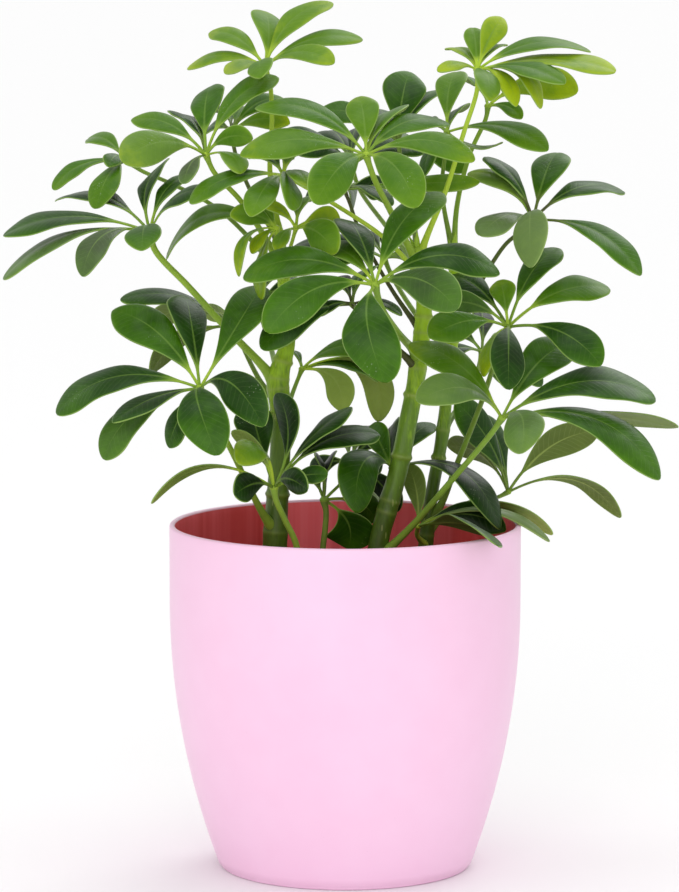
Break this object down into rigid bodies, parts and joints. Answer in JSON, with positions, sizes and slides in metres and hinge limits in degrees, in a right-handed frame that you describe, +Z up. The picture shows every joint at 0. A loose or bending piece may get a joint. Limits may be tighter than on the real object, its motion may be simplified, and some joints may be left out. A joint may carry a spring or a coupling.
{
  "type": "potted umbrella plant",
  "caption": "Umbrella plant with palmate glossy leaves on upright green stems, growing in potting soil in a tapered pink plastic pot.",
  "frame": {"origin": "centre of the pot's base, on the surface it stands on", "axes": "+Z up, -Y towards the viewer of the reference picture, +X to that viewer's right"},
  "size_m": [0.2971, 0.23, 0.383],
  "materials": {
    "pot_plastic": "satin, pale pink outside, deep rose in the shade inside",
    "soil": "rough, dark brown, crumbly",
    "stem": "satin, yellow-green with pale leaf scars",
    "leaf_mature": "glossy, dark green, paler underneath",
    "leaf_young": "glossy, light yellow-green"
  },
  "bodies": {
    "root": {"pot": "pot_plastic", "potting_soil": "soil", "stem_left": "stem", "stem_middle": "stem", "stem_right": "stem", "leaf_crown_left": "leaf_young", "leaf_upper_left": "leaf_mature", "leaf_upper_left_rear": "leaf_mature", "leaf_left_small": "leaf_mature", "leaf_left_long": "leaf_mature", "leaf_crown_front": "leaf_mature", "leaf_crown_rear": "leaf_mature", "leaf_inner_left": "leaf_mature", "leaf_young_centre": "leaf_young", "leaf_inner_hanging": "leaf_mature", "leaf_centre_front": "leaf_mature", "leaf_centre_rear": "leaf_mature", "leaf_centre_under": "leaf_mature", "leaf_crown_right": "leaf_young", "leaf_crown_right_rear": "leaf_mature", "leaf_upper_right_inner": "leaf_mature", "leaf_right_upper": "leaf_mature", "leaf_right_middle": "leaf_mature", "leaf_right_low_front": "leaf_mature", "leaf_right_low_rear": "leaf_mature", "leaf_inner_right_arched": "leaf_mature", "leaf_over_rim": "leaf_mature", "leaf_low_left_inner": "leaf_mature", "leaf_low_centre": "leaf_mature", "leaf_left_low_front": "leaf_mature", "leaf_left_low_rear": "leaf_mature", "leaf_between_stems": "leaf_mature", "leaf_rear_upper": "leaf_mature", "leaf_rear_middle": "leaf_mature", "leaf_rear_left": "leaf_mature", "leaf_rear_right": "leaf_mature", "leaf_rear_low": "leaf_mature"}
  },
  "joints": []
}
